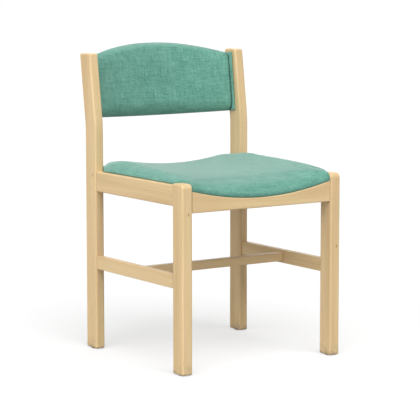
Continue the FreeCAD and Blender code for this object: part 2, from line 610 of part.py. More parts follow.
def block_screws():
    """Two screws through each corner block, one into each rail that it joins."""
    seat, depth = number("screw_seat"), number("screw_head_depth")
    length = seat + depth + number("screw_bite")
    screws = []
    for _, side in SIDES:
        inner = number(RAIL_INNER) - seat - depth
        for place in (FRONT_SIDE_SCREW, REAR_SIDE_SCREW):
            start = Vector(side * inner, number(place), number(SIDE_SCREW_HEIGHT))
            screws.append(screw(start, Vector(side, 0, 0), length))
        for place, face, inward in ((FRONT_SCREW, FRONT_RAIL_REAR, 1), (REAR_SCREW, REAR_RAIL_FRONT, -1)):
            start = Vector(side * number(place), number(face) + inward * (seat + depth), number(RAIL_SCREW_HEIGHT))
            screws.append(screw(start, Vector(0, -inward, 0), length))
    return solid_piece("corner_block_screws", Part.makeCompound(screws))


def seat_screws():
    """Screws up through the corner blocks into the seat board."""
    screws = []
    low = number(f"{BLOCK_TOP} - block_height")
    for out, depth in SEAT_SCREWS:
        place, back = number(out), number(depth)
        tip = cushion_base(back) + dish(place) + number("cloth + fit_gap + seat_screw_bite")
        screws += [screw(Vector(side * place, back, low), Vector(0, 0, 1), tip - low) for _, side in SIDES]
    return solid_piece("seat_screws", Part.makeCompound(screws))


def glide(label, middle, place):
    """A domed foot glide with its nail, turned about its own axis."""
    piece = body(label)
    profile = sketch_on(piece, "XZ_Plane", "0")
    rim = "glide_height / 3"
    outline(profile,
            (("0", "0"), ("glide_diameter / 2 - glide_height / 2", "0"), ("glide_diameter / 2", rim),
             ("glide_diameter / 2", "glide_height"), ("nail_diameter / 2", "glide_height"),
             ("nail_diameter / 2", "glide_height + nail_length"), ("0", "glide_height + nail_length")))
    turned = piece.newObject("PartDesign::Revolution", "turned")
    turned.Profile = profile
    turned.ReferenceAxis = (profile, ["V_Axis"])
    turned.Angle = 360
    bind(piece, Placement__Base__x=middle, Placement__Base__y=place)
    return piece


def dish(place):
    """Height of the seat's curve above its middle."""
    radius = number("dish_radius")
    return radius - math.sqrt(radius ** 2 - place ** 2)


def cushion_base(depth):
    """Height of the cushion's underside in the middle: level, then curved down to the front rail."""
    run = number(f"{LIP_END} - {FRONT_RAIL_FRONT}")
    ahead = max(number(LIP_END) - depth, 0) / run
    return number(SEAT_BASE) - number(f"{SEAT_BASE} - {SEAT_LIP}") * ahead ** 2


def cushion_fall(depth):
    """How far the cushion's top has fallen: a fading slope to the front, and quarter ellipses at both edges."""
    behind = depth - number(FRONT_RAIL_FRONT)
    slope = number("front_fall") * math.exp(-behind / number("front_run"))
    nose = (number("nose_roll") - behind) / number("nose_roll")
    rear = (depth - number(SEAT_REAR) + number("rear_roll")) / number("rear_roll")
    rolls = [(number("nose_fall"), nose), (number("rear_fall"), rear)]
    return slope + sum(fall * (1 - math.sqrt(1 - min(max(share, 0), 1) ** 2)) for fall, share in rolls)


def cushion_section(depth, half, skin, floor):
    """Four arcs across the cushion: underside, two bulging sides and a dished top."""
    fall = cushion_fall(depth) + skin
    base = cushion_base(depth) + floor
    crest = min(number("crest_place"), half - number("crest_rise"))
    edge = Vector(half, depth, base + dish(half))
    top = Vector(crest, depth, number(CUSHION_CREST) - fall)
    chord = top - edge
    side = (edge + top) * 0.5 + Vector(chord.z, 0, -chord.x) * number("side_bulge")

    def mirrored(point):
        return Vector(-point.x, point.y, point.z)

    low, high = Vector(0, depth, base), Vector(0, depth, number(CUSHION_MIDDLE) - fall)
    arcs = (Part.Arc(mirrored(edge), low, edge), Part.Arc(edge, side, top),
            Part.Arc(top, high, mirrored(top)), Part.Arc(mirrored(top), mirrored(side), mirrored(edge)))
    return Part.Wire([arc.toShape() for arc in arcs])


def cushion(skin, floor):
    """The seat's soft form, drawn in by a skin all round and lifted by a floor underneath.

    The lip between the front legs runs a little way into the main part, and is drawn in there.
    """
    front = number(FRONT_RAIL_FRONT) + skin
    behind_leg = number(LIP_END) + skin
    rear = number(SEAT_REAR) - skin
    narrow = number(f"{LEG_INNER} - fit_gap") - skin
    wide = number(SEAT_HALF) - skin
    between = number(f"{POST_INNER} - leg_round / 2") - skin
    post, corner = number(POST_FRONT), number("corner_run")
    inset = number("fit_gap")
    reach = behind_leg + 10 * inset - front
    lip = [(front + reach * share, narrow, inset * share) for share in (0, 0.06, 0.17, 0.32, 0.6, 1)]
    reach = post - corner - behind_leg
    main = [(behind_leg + reach * share, wide, 0) for share in (0, 0.12, 0.25, 0.4, 1)]
    roll = number("rear_roll")
    tail = [(depth, between, 0) for depth in (post, rear - roll / 2, rear - roll / 6, rear)]
    lofts = []
    for stations in (lip, main + tail):
        wires = [cushion_section(depth, half - more, skin + more, floor + more) for depth, half, more in stations]
        lofts.append(Part.makeLoft(wires, True, True))
    return lofts[1].fuse(lofts[0])


def seat_cover():
    """The cloth over the cushion, turned under the board to a hem."""
    cloth = number("cloth")
    shell = cushion(0, 0).cut(cushion(cloth, cloth))
    half = number(f"{SEAT_HALF} - hem_width")
    front, rear = number(f"{LEG_REAR} + hem_width / 2"), number(f"{SEAT_REAR} - hem_width / 2")
    under, low = number(SEAT_BASE) + cloth + number("fit_gap"), number(FRONT_RAIL_LOW)
    corners = [Vector(half, front, low), Vector(-half, front, low), Vector(-half, front, under + dish(half)),
               Vector(half, front, under + dish(half))]
    arc = Part.Arc(corners[2], Vector(0, front, under), corners[3]).toShape()
    section = Part.Wire([arc] + Part.makePolygon([corners[3], *corners[:3]]).Edges)
    opening = Part.Face(section).extrude(Vector(0, rear - front, 0))
    radius = number("screw_diameter / 2 + fit_gap")
    place, depth = (number(value) for value in SEAT_SCREWS[0])
    holes = [Part.makeCylinder(radius, under + dish(place) - low, Vector(side * place, depth, low))
             for _, side in SIDES]
    return solid_piece("seat_cover", shell.cut([opening] + holes))


def board_space(lift):
    """The room that the foam leaves for the seat board: the board's outline, up to a lifted underside."""
    half = number(SEAT_HALF) + lift
    front, end, rear = number(FRONT_RAIL_FRONT), number(LIP_END), number(SEAT_REAR) + lift
    wires = []
    for depth in [front + (end - front) * step / 8 for step in range(-1, 9)] + [rear]:
        top = cushion_base(depth) + lift
        low = number(FRONT_RAIL_BOTTOM)
        corners = [Vector(half, depth, low), Vector(-half, depth, low), Vector(-half, depth, top + dish(half)),
                   Vector(half, depth, top + dish(half))]
        arc = Part.Arc(corners[2], Vector(0, depth, top), corners[3]).toShape()
        wires.append(Part.Wire([arc] + Part.makePolygon([corners[3], *corners[:3]]).Edges))
    gap = number("fit_gap")
    plan = ((BOARD_LIP, number(BOARD_FRONT) - gap), (BOARD_LIP, number(BOARD_SHOULDER) - gap),
            (BOARD_WIDE, number(BOARD_SHOULDER) - gap), (BOARD_WIDE, number(POST_FRONT) - number("corner_run")),
            (BOARD_TAIL, number(POST_FRONT)), (BOARD_TAIL, number(BOARD_REAR) + gap))
    right = [Vector(number(place) + gap, depth, low) for place, depth in plan]
    left = [Vector(-point.x, point.y, low) for point in reversed(right)]
    prism = Part.Face(Part.makePolygon(right + left + right[:1])).extrude(Vector(0, 0, number(LEG_TOP)))
    return Part.makeLoft(wires, True, True).common(prism)


def seat_foam():
    skin = number("cloth + fit_gap")
    whole = cushion(skin, skin)
    return solid_piece("seat_foam", whole.cut(board_space(skin + number("board_thickness + fit_gap"))))


def curved_band(sketch, half, low, thickness):
    """A section of a bent board: two arcs of the seat's curve, one above the other."""
    edge = f"({low} + dish_radius - sqrt(dish_radius ^ 2 - ({half}) ^ 2))"
    corners = ((f"-({half})", edge), (half, edge), (half, f"{edge} + {thickness}"),
               (f"-({half})", f"{edge} + {thickness}"))
    return outline(sketch, corners, {0: ("dish_radius", 1), 2: ("dish_radius", -1)})


def seat_board():
    """A bent board: a dished sheet with a lip that curves down between the front legs."""
    board = body("seat_board")
    low = f"({SEAT_BASE} + cloth + fit_gap)"
    main = curved_band(facing(board, BOARD_SHOULDER), BOARD_WIDE, low, "board_thickness")
    pad(board, main, f"{BOARD_REAR} - {BOARD_SHOULDER}", True)
    neck = curved_band(facing(board, LIP_END), BOARD_LIP, low, "board_thickness")
    pad(board, neck, "2 * board_inset", True)
    lip = board.newObject("PartDesign::AdditiveLoft", "lip")
    sections = []
    for share in ("0", "0.5", "1"):
        ahead = f"({share} * ({LIP_END} - {BOARD_FRONT}))"
        drop = f"({ahead} / ({LIP_END} - {FRONT_RAIL_FRONT})) ^ 2 * ({SEAT_BASE} - {SEAT_LIP})"
        section = facing(board, f"{LIP_END} - {ahead}")
        sections.append(curved_band(section, BOARD_LIP, f"({low} - {drop})", "board_thickness"))
    lip.Profile = sections[0]
    lip.Sections = sections[1:]
    doc.recompute()
    outside, behind = f"({BOARD_WIDE} + board_thickness)", f"({BOARD_REAR} + board_thickness)"
    for _, side in SIDES:
        cut = ((outside, f"{POST_FRONT} - corner_run"), (BOARD_WIDE, f"{POST_FRONT} - corner_run"),
               (BOARD_TAIL, POST_FRONT), (BOARD_TAIL, behind), (outside, behind))
        cut = [(f"{side} * {place}", depth) for place, depth in cut]
        pocket(board, outline(level(board, FRONT_RAIL_LOW), cut), "dish_radius", True)
    for place, depth in SEAT_SCREWS:
        holes = [(f"{side} * {place}", depth) for _, side in SIDES]
        reach = f"{low} + dish_radius - sqrt(dish_radius ^ 2 - {place} ^ 2) - {FRONT_RAIL_LOW}"
        drill = circles(level(board, FRONT_RAIL_LOW), holes, "screw_diameter")
        pocket(board, drill, f"{reach} + seat_screw_bite + dowel_end_gap", True)
    return board


def dust_cover():
    """A thin cloth under the board, inside the cover's hem."""
    cover = body("seat_dust_cover")
    start = f"({LEG_REAR} + hem_width / 2 + fit_gap)"
    length = f"{SEAT_REAR} - hem_width / 2 - fit_gap - {start}"
    section = curved_band(facing(cover, start), f"{SEAT_HALF} - hem_width - fit_gap",
                          f"({SEAT_BASE} + cloth - dust_cloth)", "dust_cloth")
    pad(cover, section, length, True)
    holes = [(f"{side} * {place}", depth) for _, side in SIDES for place, depth in SEAT_SCREWS[1:]]
    pocket(cover, circles(level(cover, FRONT_RAIL_LOW), holes, "screw_diameter + 2 * fit_gap"), "dish_radius", True)
    return cover


def lean(piece):
    """Places a piece that is modelled upright in the back's own frame, which leans with the posts."""
    piece.Placement = Placement(Vector(), Rotation(Vector(1, 0, 0), -number("post_rake")))
    bind(piece, Placement__Rotation__Angle="-post_rake * 1 deg", Placement__Base__y=POST_FRONT,
         Placement__Base__z=PIVOT_HEIGHT)
    return piece


def lean_placement():
    turn = Rotation(Vector(1, 0, 0), -number("post_rake"))
    return Placement(Vector(0, number(POST_FRONT), number(PIVOT_HEIGHT)), turn)


def layer(depth, half=BACK_HALF):
    """Radius of the back's curve at a depth in from its rear, and the curve's place at its ends."""
    radius = f"(back_radius - {depth})"
    return radius, f"({BACK_CENTRE} + sqrt({radius} ^ 2 - {half} ^ 2))"


def back_sheet(label, outer, thickness, margin):
    """A curved sheet of the back with an arched top, set in by a margin at its top and bottom."""
    sheet_body = body(label)
    rear_radius, rear_place = layer(outer)
    front_radius, front_place = layer(f"({outer} + {thickness})")
    plan = ((f"-{BACK_HALF}", front_place), (BACK_HALF, front_place), (BACK_HALF, rear_place),
            (f"-{BACK_HALF}", rear_place))
    arcs = {0: (front_radius, -1), 2: (rear_radius, 1)}
    height = f"back_end_height + back_arch - 2 * {margin}"
    pad(sheet_body, outline(level(sheet_body, f"back_bottom + {margin}"), plan, arcs), height)
    arch_radius = f"(({BACK_HALF} ^ 2 + back_arch ^ 2) / (2 * back_arch))"
    spring = f"{BACK_TOP} - {margin}"
    clear = f"{BACK_TOP} + 2 * back_arch"
    above = ((f"-{BACK_HALF}", spring), (BACK_HALF, spring), (BACK_HALF, clear), (f"-{BACK_HALF}", clear))
    pocket(sheet_body, outline(facing(sheet_body, "0"), above, {0: (arch_radius, -1)}), "back_radius")
    return lean(sheet_body)


def back_cleat(name, side):
    """A beech strip on the panel's front at its end, doweled to the post."""
    cleat = body(f"{name}_back_cleat")
    inner = f"({BACK_HALF} - cleat_width)"
    front_radius, front_outer = layer("(back_depth - cloth - fit_gap)")
    front_inner = layer("(back_depth - cloth - fit_gap)", inner)[1]
    rear_radius, rear_outer = layer(PANEL_DEPTH)
    rear_inner = layer(PANEL_DEPTH, inner)[1]
    plan = ((inner, front_inner), (BACK_HALF, front_outer), (BACK_HALF, rear_outer), (inner, rear_inner))
    plan = [(f"{side} * {place}", back) for place, back in plan]
    arcs = {0: (front_radius, -side), 2: (rear_radius, side)}
    pad(cleat, outline(level(cleat, f"{CLEAT_AXIS} - cleat_height / 2"), plan, arcs), "cleat_height")
    diameter, deep = socket("cleat_dowel")
    holes = [(CLEAT_DEPTH, up) for up in pair(CLEAT_AXIS, "cleat_dowel_pitch")]
    pocket(cleat, circles(across(cleat, f"{side} * {BACK_HALF}"), holes, diameter), deep, side < 0)
    return lean(cleat)


def back_section(place, skin, rear_depth):
    """A closed upright section of the back pad: flat behind, round at its edges and full in front."""
    half, centre = number(BACK_HALF), number(BACK_CENTRE)
    share = 1 - min(abs(place) / half, 1) ** 2
    arch = number(f"({BACK_HALF} ^ 2 + back_arch ^ 2) / (2 * back_arch)")
    low = number("back_bottom") + skin
    high = number(f"{BACK_TOP} + back_arch") - arch + math.sqrt(arch ** 2 - place ** 2) - skin
    rear = centre + math.sqrt((number("back_radius") - rear_depth) ** 2 - place ** 2)
    front_radius = number("back_radius - back_depth") - number("back_crown") * share + skin
    front = centre + math.sqrt(front_radius ** 2 - place ** 2)
    turn = number("back_edge_round") - skin
    slope = turn * (1 - math.sqrt(0.5))
    points = [(rear, low), (front + turn, low), (front + slope, low + slope), (front, low + turn),
              (front - number("back_crown") * share / 3, (low + high) / 2), (front, high - turn),
              (front + slope, high - slope), (front + turn, high), (rear, high)]
    points = [Vector(place, depth, up) for depth, up in points]
    edges = (Part.LineSegment(points[0], points[1]), Part.Arc(points[1], points[2], points[3]),
             Part.Arc(points[3], points[4], points[5]) if share > 0.01 else Part.LineSegment(points[3], points[5]),
             Part.Arc(points[5], points[6], points[7]), Part.LineSegment(points[7], points[8]),
             Part.LineSegment(points[8], points[0]))
    return Part.Wire([edge.toShape() for edge in edges])


def back_pad(reach, skin, rear_depth):
    """The back's soft form from end to end, through upright sections."""
    quarters = [number(BACK_HALF) * step / 4 for step in range(-3, 4)]
    places = [-reach, *quarters, reach]
    return Part.makeLoft([back_section(place, skin, rear_depth) for place in places], True, True)


def back_front_cover():
    """The cloth over the front of the back, wrapped round its top and bottom edges."""
    half = number(BACK_HALF)
    behind = number("rear_cover_thickness + fit_gap")
    outer = back_pad(half, 0, behind)
    inner = back_pad(half + number("fit_gap"), number("cloth"), 0)
    return solid_piece("back_front_cover", outer.cut(inner), lean_placement())


def back_foam():
    """The padding in front of the panel, between the cleats."""
    half = number(f"{BACK_HALF} - cleat_width - fit_gap")
    return solid_piece("back_foam", back_pad(half, number("cloth + 3 * fit_gap"), number(PANEL_DEPTH)),
                       lean_placement())


def covered_strip(name, side):
    """A cloth-covered strip in the corner between the pad and the post, round along its free edge."""
    strip = body(f"{name}_back_strip")
    rear = f"({BACK_FRONT} - fit_gap)"
    front = f"({rear} - strip_depth)"
    face = f"{side} * ({POST_INNER} - fit_gap)"
    crest = f"{side} * ({POST_INNER} - fit_gap - strip_width)"
    plan = ((face, front), (crest, f"({front} + {rear}) / 2"), (crest, rear), (face, rear))
    profile = outline(level(strip, "back_bottom"), plan, {0: ("strip_depth", -side)})
    pad(strip, profile, "back_end_height")
    return lean(strip)


def glides():
    feet = (("front", f"({HALF} - leg_width / 2)", "front_face + leg_depth / 2"),
            ("rear", f"({HALF} - post_width / 2)", f"{POST_FRONT} + post_depth / 2"))
    return [glide(f"{name}_{end}_glide", f"{side} * {middle}", place)
            for name, side in SIDES for end, middle, place in feet]


def chair():
    """Every piece of the chair."""
    pieces = []
    for name, side in SIDES:
        pieces += [front_leg(name, side), rear_post(name, side), side_rail(name, side), side_stretcher(name, side),
                   corner_block(name, side, "front"), corner_block(name, side, "rear"),
                   back_cleat(name, side), covered_strip(name, side)]
    pieces += [front_rail(), rear_rail(), cross_stretcher(), block_screws(), seat_screws()]
    pieces += all_dowels() + glides()
    pieces += [seat_board(), dust_cover(), seat_foam(), seat_cover()]
    pieces += [back_sheet("back_panel", "(rear_cover_thickness + fit_gap)", "panel_thickness", "(cloth + 3 * fit_gap)"),
               back_sheet("back_rear_cover", "0", "rear_cover_thickness", "0"), back_foam(), back_front_cover()]
    return pieces


def write(pieces):
    """Writes the pieces once every object of the document has come out whole."""
    doc.recompute()
    failed = [thing.Label for thing in doc.Objects if {"Invalid", "Error"} & set(thing.State)]
    failed += [piece.Label for piece in pieces if piece.Shape.isNull() or not piece.Shape.isValid()]
    if failed:
        raise RuntimeError("pieces that failed: " + ", ".join(failed))
    os.makedirs("parts", exist_ok=True)
    for piece in pieces:
        piece.Shape.exportStep(f"parts/{piece.Label}.step")


write(chair())
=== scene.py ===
"""Looks of the upholstered beech side chair, in metres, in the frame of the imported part."""
import math

import bmesh
import bpy
import numpy as np
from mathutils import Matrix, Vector
from mathutils.kdtree import KDTree


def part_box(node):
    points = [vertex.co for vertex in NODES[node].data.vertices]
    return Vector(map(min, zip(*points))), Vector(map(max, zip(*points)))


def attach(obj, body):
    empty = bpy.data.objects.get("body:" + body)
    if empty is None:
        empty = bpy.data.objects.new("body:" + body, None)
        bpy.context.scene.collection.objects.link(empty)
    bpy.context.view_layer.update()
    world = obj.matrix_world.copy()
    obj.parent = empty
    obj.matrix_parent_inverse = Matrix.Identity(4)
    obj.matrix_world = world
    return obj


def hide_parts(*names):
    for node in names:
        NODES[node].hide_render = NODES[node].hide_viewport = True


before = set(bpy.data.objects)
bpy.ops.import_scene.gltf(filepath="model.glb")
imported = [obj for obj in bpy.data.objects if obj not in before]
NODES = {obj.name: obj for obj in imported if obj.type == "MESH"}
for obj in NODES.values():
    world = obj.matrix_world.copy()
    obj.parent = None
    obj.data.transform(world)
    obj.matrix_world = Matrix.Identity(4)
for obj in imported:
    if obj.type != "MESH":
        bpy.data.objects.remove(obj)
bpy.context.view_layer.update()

SCENE = bpy.context.scene
SCENE.view_settings.view_transform = "Standard"
MM = 0.001

# Sizes of the upholstery, in millimetres, in the chair's frame
LEG_INNER = 211.7
LEG_REAR = -218.1
RAIL_FRONT = -261.4
POST_INNER = 216.0
POST_FRONT = 146.1
SEAT_HALF = 233.0
SEAT_TAIL = 215.3
SEAT_REAR = 188.1
DISH_RADIUS = 797.0
SEAT_BASE = 440.1
LIP_BASE = 427.8
LIP_REST = 7.0
CUSHION_MIDDLE = 478.5
CREST_RISE = 18.5
CREST_PLACE = 190.0
CORNER_RUN = 25.0
SIDE_DROOP = 3.2
FRONT_FALL = 20.0
FRONT_RUN = 62.0
LEG_EASE = 0.3
SIDE_FALL = 6.4
SIDE_FALL_PLACE = 200.0
SIDE_FALL_RUN = 327.0
REAR_FALL = 10.0
REAR_RUN = 40.0
SIDE_ROLL = 45.0
SIDE_POWER = 2.1
FRONT_ROLL = 40.0
FRONT_ROLL_AT_LEG = 6.0
REAR_ROLL = 18.0
NOTCH_ROLL = 1.5
CORNER_ROLL = 32.0
CORNER_HEIGHT = 0.45
LEG_FOLD_WIDTH = 6.0
LEG_FOLD_RUN = 13.0
LEG_FOLD_SHARE = 0.5
EDGE_MIDDLE = 5.0
EDGE_AT_LEG = 0.6
TUCK_RUN = 4.0
DUST_HALF = 206.7
DUST_FRONT = -205.1
DUST_REAR = 174.8
DUST_GAP = 0.4
DUST_SAG = 1.2
PIVOT_HEIGHT = 589.045
RAKE = math.radians(8.0)
BACK_HALF = 215.7
BACK_BOTTOM = 23.2
BACK_END = 181.0
BACK_ARCH = 38.0
BACK_RADIUS = 625.0
BACK_REAR = 50.5
BACK_DEPTH = 26.5
BACK_CROWN = 6.0
PAD_SEAM = 7.0
PAD_END_RISE = 2.5
PAD_TOP_ROLL = 16.0
PAD_BOTTOM_ROLL = 28.0
PAD_END_ROLL = 9.0
PAD_END_SHARE = 0.42
COVER_DEPTH = 2.6
COVER_INSET = 0.5
COVER_ROLL = 4.0
COVER_FULLNESS = 0.8
STRIP_PLACE = 23.5
STRIP_FROM_POST = 3.0
STRIP_HALF = 2.8
STRIP_FRONT_LOW = 6.0
STRIP_FRONT_RISE = 4.5
STRIP_REAR = 22.0
STRIP_END_ROLL = 4.0
SWELL_CAP = 3.0
HELD_RIM = 5.0


# Meshes from arrays

def put_mesh(name, points, faces):
    """A new object from an array of points in millimetres and a list of faces."""
    mesh = bpy.data.meshes.new(name)
    mesh.from_pydata((points * MM).tolist(), [], faces)
    mesh.update()
    piece = bpy.data.objects.new(name, mesh)
    SCENE.collection.objects.link(piece)
    return piece


def smooth(piece):
    piece.data.polygons.foreach_set("use_smooth", np.ones(len(piece.data.polygons), dtype=bool))
    piece.data.update()


def outward(piece):
    """Turns every face of a closed mesh outwards."""
    work = bmesh.new()
    work.from_mesh(piece.data)
    bmesh.ops.recalc_face_normals(work, faces=work.faces)
    work.to_mesh(piece.data)
    work.free()


def closed_rings(name, rings):
    """A closed surface through rings of points: quads between them, and a fan to a point at each end."""
    rows, around, _ = rings.shape
    points = np.concatenate([rings.reshape(-1, 3), rings[:1].mean(axis=1), rings[-1:].mean(axis=1)])
    row, place = np.meshgrid(np.arange(rows - 1), np.arange(around), indexing="ij")
    following = (place + 1) % around
    corners = (row * around + place, row * around + following,
               (row + 1) * around + following, (row + 1) * around + place)
    faces = np.stack([corner.ravel() for corner in corners], axis=1).tolist()
    place, following = place[0], following[0]
    last = (rows - 1) * around
    middles = np.full((2, around), [[rows * around], [rows * around + 1]])
    faces += np.stack([following, place, middles[0]], axis=1).tolist()
    faces += np.stack([last + place, last + following, middles[1]], axis=1).tolist()
    piece = put_mesh(name, points, faces)
    outward(piece)
    smooth(piece)
    return piece


def rounded(distance, reach, power=2.0):
    """A rolled edge's height, a quarter of a superellipse: 0 at the edge, steeply up to 1 at the reach."""
    inside = 1 - np.clip(distance / reach, 0, 1)
    return (1 - inside ** power) ** (1 / power)


def walk(corners, step):
    """Points along a closed outline of straight runs, about a step apart."""
    corners = np.asarray(corners, float)
    runs = []
    for start, finish in zip(corners, np.roll(corners, -1, axis=0)):
        count = max(int(np.hypot(*(finish - start)) / step), 1)
        runs.append(start + (finish - start) * np.arange(count)[:, None] / count)
    return np.concatenate(runs)


def coordinates(mesh):
    """The places of a mesh's points, as an array in metres."""
    places = np.empty(len(mesh.vertices) * 3)
    mesh.vertices.foreach_get("co", places)
    return places.reshape(-1, 3)


def swell(piece, held, cap):
    """Plumps a closed cushion, with some of its points held and every move kept under a cap.

    An evenly meshed copy swells as cloth under pressure. Each point of the cushion then moves as the copy's
    nearest points did, so the cushion keeps its own clean edges.
    """
    copy = piece.copy()
    SCENE.collection.objects.link(copy)
    remesh = copy.modifiers.new("even mesh", "REMESH")
    remesh.mode = "VOXEL"
    remesh.voxel_size = 5 * MM
    even = bpy.data.meshes.new_from_object(copy.evaluated_get(bpy.context.evaluated_depsgraph_get()))
    copy.modifiers.clear()
    copy.data = even
    start = coordinates(even)
    group = copy.vertex_groups.new(name="held")
    group.add(np.flatnonzero(held(start / MM)).tolist(), 1.0, "REPLACE")
    cloth = copy.modifiers.new("cloth", "CLOTH")
    cloth.settings.quality = 6
    cloth.settings.use_pressure = True
    cloth.settings.uniform_pressure_force = 4
    cloth.settings.vertex_group_mass = "held"
    cloth.settings.effector_weights.gravity = 0
    cloth.collision_settings.use_collision = False
    for moment in range(1, 21):
        SCENE.frame_set(moment)
    move = coordinates(copy.evaluated_get(bpy.context.evaluated_depsgraph_get()).data) - start
    SCENE.frame_set(1)
    length = np.linalg.norm(move, axis=1, keepdims=True)
    move *= np.tanh(length / (cap * MM)) * cap * MM / np.maximum(length, 1e-9)
    bpy.data.objects.remove(copy)
    nearby = KDTree(len(start))
    for index, place in enumerate(start):
        nearby.insert(place, index)
    nearby.balance()
    places = coordinates(piece.data)
    closest = np.array([[index for _, index, _ in nearby.find_n(place, 8)] for place in places])
    piece.data.vertices.foreach_set("co", (places + move[closest].mean(axis=1)).ravel())
    piece.data.update()


# The seat

def dish(across):
    """Height of the seat's curve above its middle: an arc of the dish's radius."""
    return DISH_RADIUS - np.sqrt(DISH_RADIUS ** 2 - across ** 2)


def seat_underside(across, depth):
    """The dish, with a lip that falls to rest on the front rail and sides that droop to the side rails."""
    ahead = np.clip((LEG_REAR - depth) / (LEG_REAR - RAIL_FRONT - LIP_REST), 0, 1)
    droop = np.clip((np.abs(across) - LEG_INNER) / (SEAT_HALF - LEG_INNER), 0, 1) ** 2
    return SEAT_BASE - (SEAT_BASE - LIP_BASE) * ahead ** 2 + dish(across) - SIDE_DROOP * droop


def seat_top(across, depth):
    """The cushion's full height: a parabola across, less slopes to the front and a roll at the rear.

    One slope fades away exponentially from the front, and is less beside the legs. The other lowers the
    sides, more and more to the front.
    """
    crest = CREST_RISE * (across / CREST_PLACE) ** 2
    beside_leg = np.clip(np.abs(across) / LEG_INNER, 0, 1) ** 10
    slope = FRONT_FALL * np.exp((RAIL_FRONT - depth) / FRONT_RUN) * (1 - LEG_EASE * beside_leg)
    to_rear = np.clip((depth - RAIL_FRONT) / SIDE_FALL_RUN, 0, 1)
    side_slope = SIDE_FALL * (across / SIDE_FALL_PLACE) ** 2 * (1 - to_rear ** 2)
    rear = np.clip((depth - SEAT_REAR + REAR_RUN) / REAR_RUN, 0, 1)
    return CUSHION_MIDDLE + crest - slope - side_slope - REAR_FALL * (1 - np.sqrt(1 - rear ** 2))


def seat_roll(across, depth):
    """Product of the rolled edges at the sides, front, rear, legs and posts: 0 at the outline, 1 inside.

    A fold behind each leg and the slanted rear corners lower it.
    """
    side = np.abs(across)
    leg = np.hypot(np.clip(LEG_INNER - side, 0, None), np.clip(depth - LEG_REAR, 0, None))
    post = np.hypot(np.clip(SEAT_TAIL - side, 0, None), np.clip(POST_FRONT - depth, 0, None))
    step = SEAT_HALF - SEAT_TAIL
    ahead = POST_FRONT - CORNER_RUN - depth
    slant = ((SEAT_HALF - side) * CORNER_RUN + ahead * step) / np.hypot(step, CORNER_RUN)
    near_leg = np.clip(side / LEG_INNER, 0, 1) ** 4
    front_reach = FRONT_ROLL - (FRONT_ROLL - FRONT_ROLL_AT_LEG) * near_leg
    fold = np.clip((side - LEG_INNER) / LEG_FOLD_WIDTH, 0, 1) * (1 - rounded(depth - LEG_REAR, LEG_FOLD_RUN))
    corner = (CORNER_HEIGHT + (1 - CORNER_HEIGHT) * rounded(slant, CORNER_ROLL)) * (1 - LEG_FOLD_SHARE * fold)
    return (rounded(SEAT_HALF - side, SIDE_ROLL, SIDE_POWER)
            * rounded(depth - RAIL_FRONT, front_reach) * corner
            * rounded(SEAT_REAR - depth, REAR_ROLL) * rounded(leg, NOTCH_ROLL) * rounded(post, NOTCH_ROLL))


def seat_cushion():
    """A closed cushion: its outline drawn in towards a middle point in rings, first below, then above."""
    right = [(LEG_INNER, RAIL_FRONT), (LEG_INNER, LEG_REAR), (SEAT_HALF, LEG_REAR),
             (SEAT_HALF, POST_FRONT - CORNER_RUN), (SEAT_TAIL, POST_FRONT), (SEAT_TAIL, SEAT_REAR)]
    outline = walk(right + [(-place, depth) for place, depth in reversed(right)], 4.0)
    middle = np.array([0.0, -40.0])
    shares = 1 - np.concatenate([np.linspace(0, 1, 14) ** 2 * 0.09, np.linspace(0.1, 0.98, 50)])
    lower = []
    upper = []
    for share in shares:
        across, depth = (middle + (outline - middle) * share).T
        under = seat_underside(across, depth)
        near_leg = np.clip(np.abs(across) / LEG_INNER, 0, 1) ** 6
        edge = EDGE_AT_LEG + (EDGE_MIDDLE - EDGE_AT_LEG) * (1 - near_leg)
        tucked = edge * (1 - rounded((1 - share) * SEAT_HALF, TUCK_RUN))
        thickness = seat_top(across, depth) - under - edge
        lower.append(np.stack([across, depth, under + tucked], axis=1))
        upper.append(np.stack([across, depth, under + edge + thickness * seat_roll(across, depth)], axis=1))
    return closed_rings("seat_cushion", np.array(lower[::-1] + upper[1:]))


def seat_held(points):
    """The underside and the lower edges, which rest on the board and the rails."""
    across, depth, height = points.T
    return height < seat_underside(across, depth) + HELD_RIM


def dust_cloth():
    """A thin black cloth stretched under the seat board: the dish with a slight sag between its edges."""
    rows, columns = 90, 80
    across, depth = np.meshgrid(np.linspace(-DUST_HALF, DUST_HALF, rows),
                                np.linspace(DUST_FRONT, DUST_REAR, columns), indexing="ij")
    middle, reach = (DUST_FRONT + DUST_REAR) / 2, (DUST_REAR - DUST_FRONT) / 2
    sag = DUST_SAG * (1 - (across / DUST_HALF) ** 2) * (1 - ((depth - middle) / reach) ** 2)
    points = np.stack([across, depth, SEAT_BASE - DUST_GAP + dish(across) - sag], axis=-1).reshape(-1, 3)
    row, place = np.meshgrid(np.arange(rows - 1), np.arange(columns - 1), indexing="ij")
    corner = (row * columns + place).ravel()
    faces = np.stack([corner, corner + 1, corner + columns + 1, corner + columns], axis=1).tolist()
    piece = put_mesh("seat_dust_cloth", points, faces)
    smooth(piece)
    return piece


# The back

def leaned(across, depth, up):
    """Points of the leaning back, from its own depth and height, in the chair's frame."""
    return np.stack([across, POST_FRONT + depth * math.cos(RAKE) + up * math.sin(RAKE),
                     PIVOT_HEIGHT - depth * math.sin(RAKE) + up * math.cos(RAKE)], axis=-1)


def back_curve(across, inwards):
    """Depth of the back's curve in plan: an arc of the back's radius less the distance in from its rear."""
    centre = BACK_REAR - math.sqrt(BACK_RADIUS ** 2 - BACK_HALF ** 2)
    return centre + np.sqrt((BACK_RADIUS - inwards) ** 2 - across ** 2)


def back_top(across):
    """The arched top edge, an arc through the ends and the middle."""
    arch = (BACK_HALF ** 2 + BACK_ARCH ** 2) / (2 * BACK_ARCH)
    return BACK_END + BACK_ARCH - arch + np.sqrt(arch ** 2 - across ** 2)


